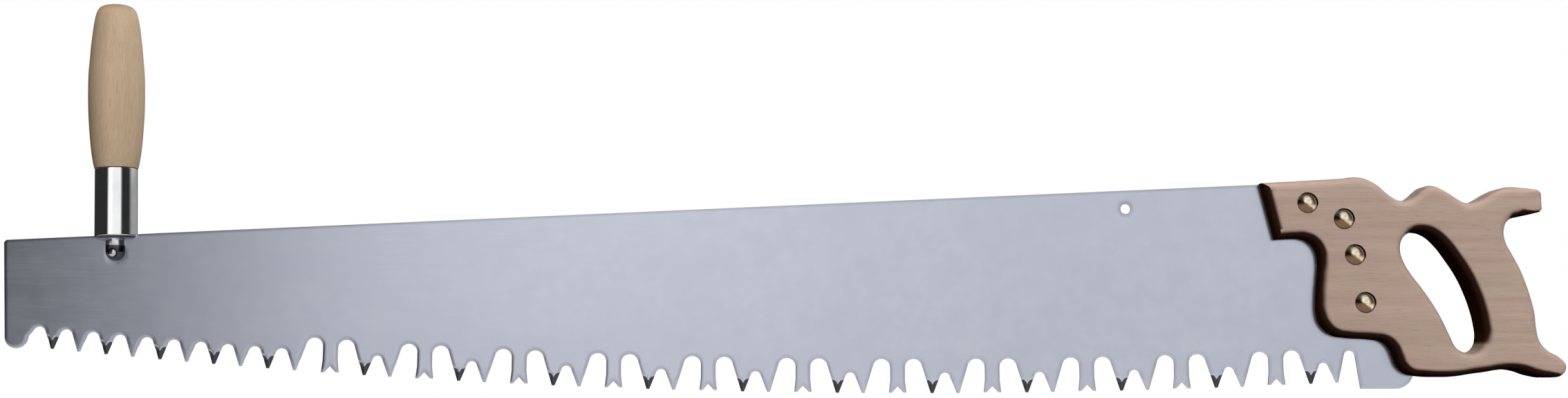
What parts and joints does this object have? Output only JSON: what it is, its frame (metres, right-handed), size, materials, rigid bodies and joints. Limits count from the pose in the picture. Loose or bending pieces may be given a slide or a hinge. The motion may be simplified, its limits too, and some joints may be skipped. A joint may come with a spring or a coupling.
{
  "type": "one-man crosscut saw",
  "caption": "Long toothed hand saw with a closed wooden handle at the heel and a turned upright handle that screws down on the blade's back near the toe.",
  "frame": {"origin": "middle of the main handle's grip, on the blade's middle plane", "axes": "+X from the toe to the main handle, halfway between the lines of the back and the teeth; +Y through the blade, away from the bolts' domed heads; +Z from the teeth to the back"},
  "size_m": [1.0044, 0.0344, 0.2536],
  "materials": {
    "blade_steel": "fine ground, lightly polished",
    "beech": "pale beech, clear satin lacquer",
    "brass": "polished",
    "chrome": "mirror plating",
    "dark_steel": "polished, darkened"
  },
  "bodies": {
    "saw": {"blade": "blade_steel", "main_handle": "beech", "saw_bolt_1": "brass", "saw_bolt_2": "brass", "saw_bolt_3": "brass", "saw_bolt_4": "brass", "saw_nut_1": "brass", "saw_nut_2": "brass", "saw_nut_3": "brass", "saw_nut_4": "brass", "forked_stud": "dark_steel", "cross_pin": "dark_steel"},
    "ferrule": {"ferrule": "chrome", "thrust_washer": "dark_steel"},
    "grip": {"upright_grip": "beech", "captive_nut": "dark_steel"}
  },
  "joints": [
    {"name": "upright_lift", "type": "slide", "parent": "saw", "child": "ferrule", "axis": [-0.0441, 0, 0.999], "range_m": [0, 0.0075]},
    {"name": "upright_turn", "type": "hinge", "parent": "ferrule", "child": "grip", "pos_m": [-0.897, 0, 0.02939], "axis": [-0.0441, 0, 0.999], "range_deg": [0, 2160]}
  ],
  "couplings": [
    {"joint": "upright_lift", "follows": "upright_turn", "m_per_rad": 0.00019894}
  ]
}
